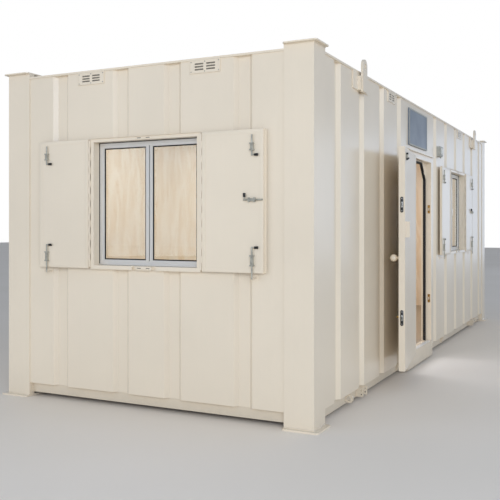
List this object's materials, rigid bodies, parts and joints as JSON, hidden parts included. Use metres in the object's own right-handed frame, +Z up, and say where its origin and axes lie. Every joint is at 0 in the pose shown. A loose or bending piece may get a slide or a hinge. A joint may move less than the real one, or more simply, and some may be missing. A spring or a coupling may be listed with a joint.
{
  "type": "portable site cabin",
  "caption": "Steel portable site cabin with grooved wall panels, corner posts, open door, and sliding windows under hinged steel shutters.",
  "frame": {"origin": "ground level, under the middle of the front right corner post, on the underside of its foot plate", "axes": "+Z up; +Y along the length, from the end wall with the window to the rear; +X across, out of the side with the door"},
  "size_m": [3.0493, 7.419, 2.7578],
  "materials": {
    "cream_paint": "semi-gloss",
    "base_paint": "satin",
    "roof_paint": "satin",
    "floor_board": "matte",
    "lining_board": "satin",
    "ceiling_board": "matte",
    "aluminium": "satin",
    "glass": "clear",
    "rubber": "matte",
    "brass": "satin",
    "sign_board": "gloss",
    "grey_plastic": "matte",
    "black_steel": "satin",
    "bolt_steel": "satin"
  },
  "bodies": {
    "cabin": {"base_rails": "base_paint", "floor_joists": "base_paint", "floor_deck": "floor_board", "corner_posts": "cream_paint", "post_plates": "cream_paint", "front_wall_sides": "cream_paint", "front_wall_window_bay": "cream_paint", "right_wall_front": "cream_paint", "right_wall_over_door": "cream_paint", "right_wall_middle": "cream_paint", "right_wall_window_bay": "cream_paint", "right_wall_rear": "cream_paint", "left_wall": "cream_paint", "rear_wall": "cream_paint", "wall_lining": "lining_board", "ceiling": "ceiling_board", "roof_panel": "roof_paint", "roof_edge_trim": "cream_paint", "door_frame": "cream_paint", "door_seal": "rubber", "door_sill": "base_paint", "door_strikes": "brass", "door_drip_strip": "cream_paint", "door_sign": "sign_board", "light_box": "grey_plastic", "front_window_box": "cream_paint", "front_window_frame": "aluminium", "front_window_glass": "glass", "side_window_box": "cream_paint", "side_window_frame": "aluminium", "side_window_glass": "glass", "shutter_keepers": "cream_paint", "wall_vents": "cream_paint", "lifting_lugs": "cream_paint", "tie_down_eyes": "cream_paint", "base_brackets": "base_paint"},
    "door": {"door_leaf": "cream_paint", "door_handles": "cream_paint", "door_locks": "black_steel", "door_bolt": "black_steel"},
    "front_left_leaf": {"front_left_shutter": "cream_paint", "front_left_bolts": "bolt_steel"},
    "front_right_leaf": {"front_right_shutter": "cream_paint", "front_right_bolts": "bolt_steel"},
    "side_near_leaf": {"side_near_shutter": "cream_paint", "side_near_bolts": "bolt_steel"},
    "side_far_leaf": {"side_far_shutter": "cream_paint", "side_far_bolts": "bolt_steel"}
  },
  "joints": [
    {"name": "door_hinge", "type": "hinge", "parent": "cabin", "child": "door", "pos_m": [0.1475, 2.415, 1.14], "axis": [0, 0, 1], "range_deg": [0, 172]},
    {"name": "front_left_shutter_hinge", "type": "hinge", "parent": "cabin", "child": "front_left_leaf", "pos_m": [-1.764, -0.1465, 1.595], "axis": [0, 0, 1], "range_deg": [0, 180]},
    {"name": "front_right_shutter_hinge", "type": "hinge", "parent": "cabin", "child": "front_right_leaf", "pos_m": [-0.754, -0.1465, 1.595], "axis": [0, 0, -1], "range_deg": [0, 180]},
    {"name": "side_near_shutter_hinge", "type": "hinge", "parent": "cabin", "child": "side_near_leaf", "pos_m": [0.1465, 4.415, 1.595], "axis": [0, 0, 1], "range_deg": [0, 180]},
    {"name": "side_far_shutter_hinge", "type": "hinge", "parent": "cabin", "child": "side_far_leaf", "pos_m": [0.1465, 5.425, 1.595], "axis": [0, 0, -1], "range_deg": [0, 180]}
  ]
}
